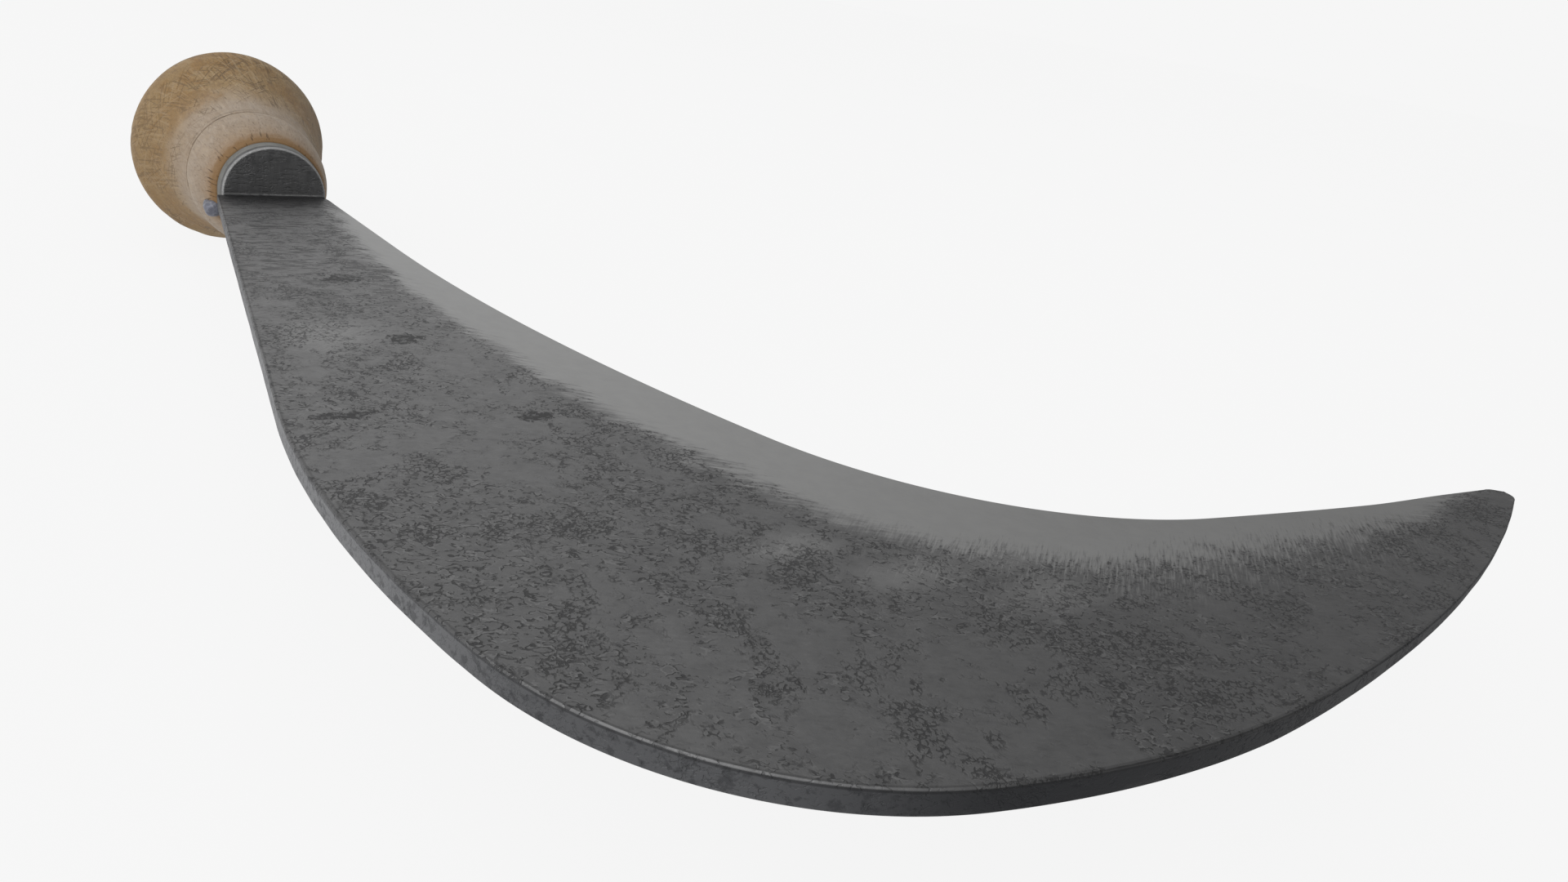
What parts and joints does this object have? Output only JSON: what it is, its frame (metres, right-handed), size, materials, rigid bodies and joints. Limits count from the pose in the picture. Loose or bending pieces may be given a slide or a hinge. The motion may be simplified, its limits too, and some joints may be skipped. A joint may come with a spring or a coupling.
{
  "type": "hand sickle",
  "caption": "Hand sickle: a broad crescent blade forged in one with its bolster and tang, ground on the inner edge, in a turned wooden handle with a crest behind the neck.",
  "frame": {"origin": "centre of the flat end of the handle's butt, on the handle's axis", "axes": "+Y along the handle's axis, out of the butt; +Z out of the blade's upper face, whose plane holds the axis; +X the way the blade reaches from the handle"},
  "size_m": [0.1961, 0.3408, 0.0482],
  "materials": {
    "forged_steel": "dark forge scale on both faces, bright brushed grind along the inner edge",
    "ferrule_steel": "satin, lightly tarnished",
    "turned_wood": "worn, unvarnished, with rust stain round the ferrule",
    "pin_steel": "satin"
  },
  "bodies": {
    "root": {"blade": "forged_steel", "ferrule": "ferrule_steel", "handle": "turned_wood", "neck_pin": "pin_steel"}
  },
  "joints": []
}
